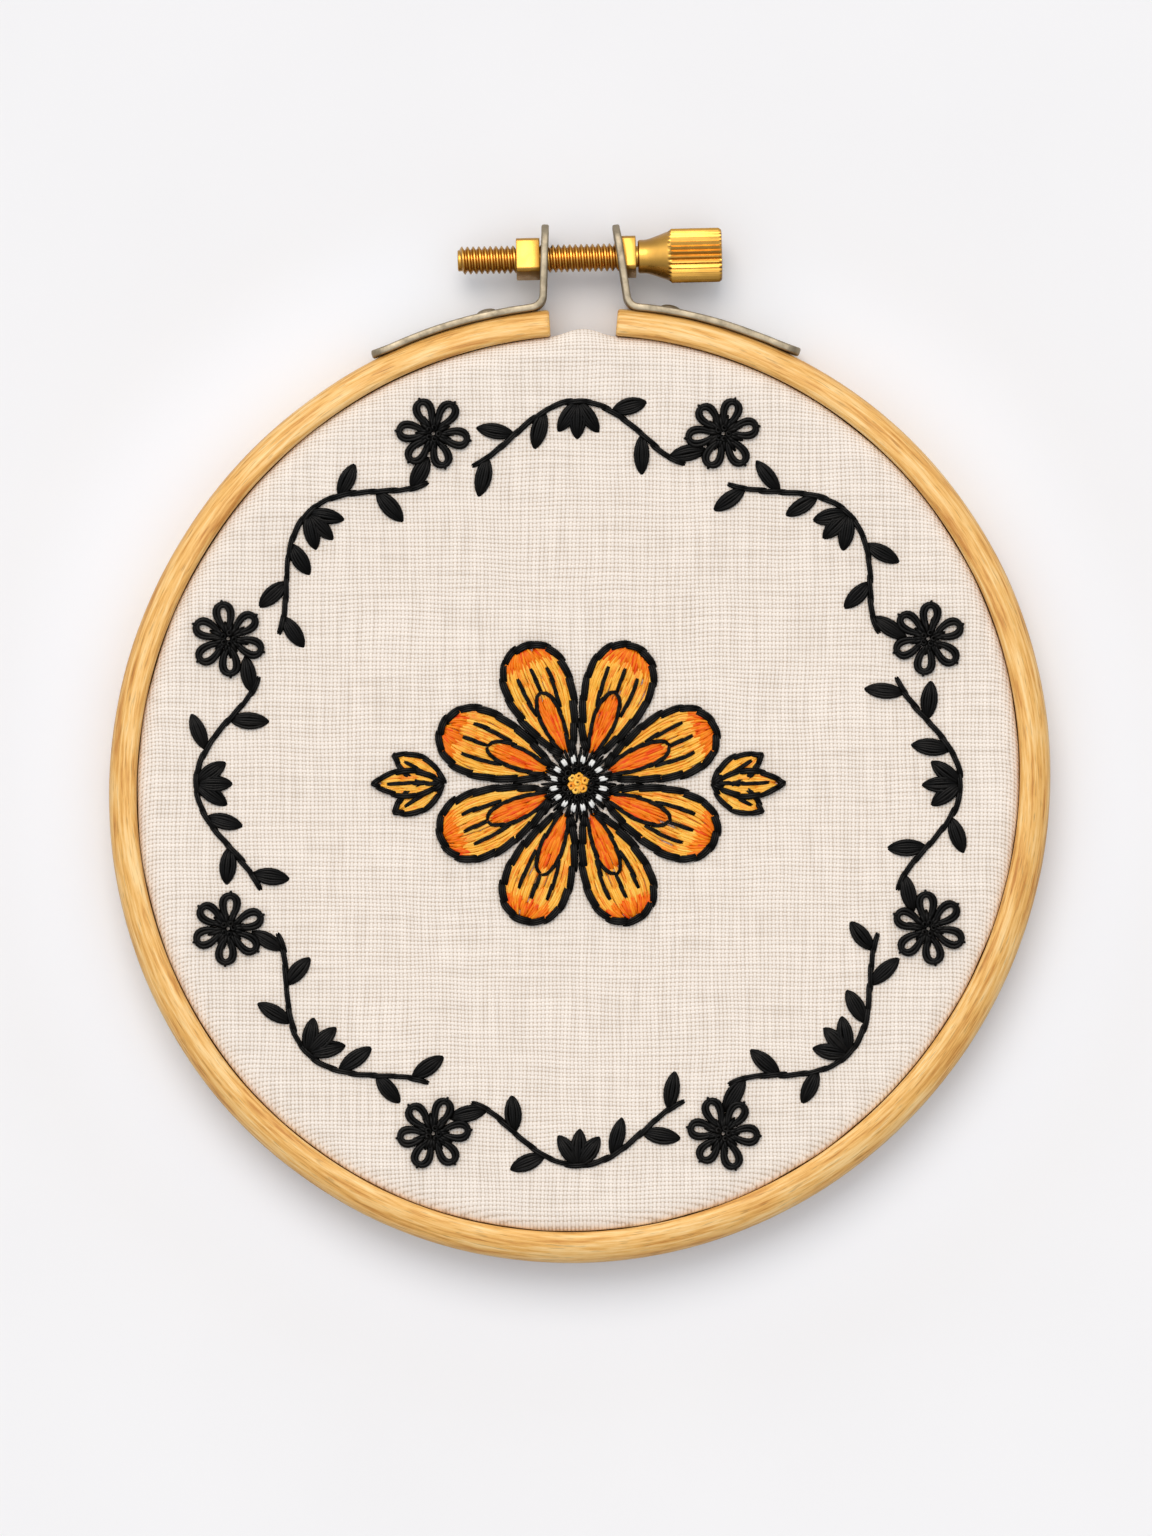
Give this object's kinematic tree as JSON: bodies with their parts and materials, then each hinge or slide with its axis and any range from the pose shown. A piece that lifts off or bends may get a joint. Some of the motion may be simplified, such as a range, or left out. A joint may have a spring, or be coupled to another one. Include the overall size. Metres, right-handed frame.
{
  "type": "embroidered cloth in a wooden embroidery hoop",
  "caption": "Round cotton cloth with a stitched flower and a black stitched garland, stretched in a split wooden embroidery hoop with a brass thumbscrew.",
  "frame": {"origin": "middle of the footprint on the surface the hoop rests on, so the hoop's own middle lies 4.6 mm behind it, away from the screw", "axes": "+Z out of the cloth's stitched face, +Y from the hoop's middle towards the screw, +X to the right, nearly along the screw towards its knurled head"},
  "size_m": [0.1092, 0.1206, 0.0096],
  "materials": {
    "bamboo": "light satin varnish",
    "cotton_cloth": "plain weave",
    "nickelled_steel": "dull nickel",
    "brass": "polished, turned",
    "amber_floss": "stranded cotton",
    "black_floss": "stranded cotton"
  },
  "bodies": {
    "hoop": {"outer_ring": "bamboo", "inner_ring": "bamboo", "cloth": "cotton_cloth", "bracket_left": "nickelled_steel", "bracket_right": "nickelled_steel", "rivet_left": "nickelled_steel", "rivet_right": "nickelled_steel", "screw_nut": "brass", "screw_collar": "brass", "flower_petals": "amber_floss", "flower_centre": "black_floss", "leaves_left": "black_floss", "leaves_right": "black_floss", "garland_1": "black_floss", "garland_2": "black_floss", "garland_3": "black_floss", "garland_4": "black_floss", "garland_5": "black_floss", "garland_6": "black_floss", "garland_7": "black_floss", "garland_8": "black_floss", "blossom_1": "black_floss", "blossom_2": "black_floss", "blossom_3": "black_floss", "blossom_4": "black_floss", "blossom_5": "black_floss", "blossom_6": "black_floss", "blossom_7": "black_floss", "blossom_8": "black_floss"},
    "thumbscrew": {"thumbscrew": "brass"}
  },
  "joints": [
    {"name": "thumbscrew_turn", "type": "hinge", "parent": "hoop", "child": "thumbscrew", "pos_m": [0.01343, 0.05674, 0.0045], "axis": [0.9997, 0.0227, 0], "continuous": true}
  ]
}
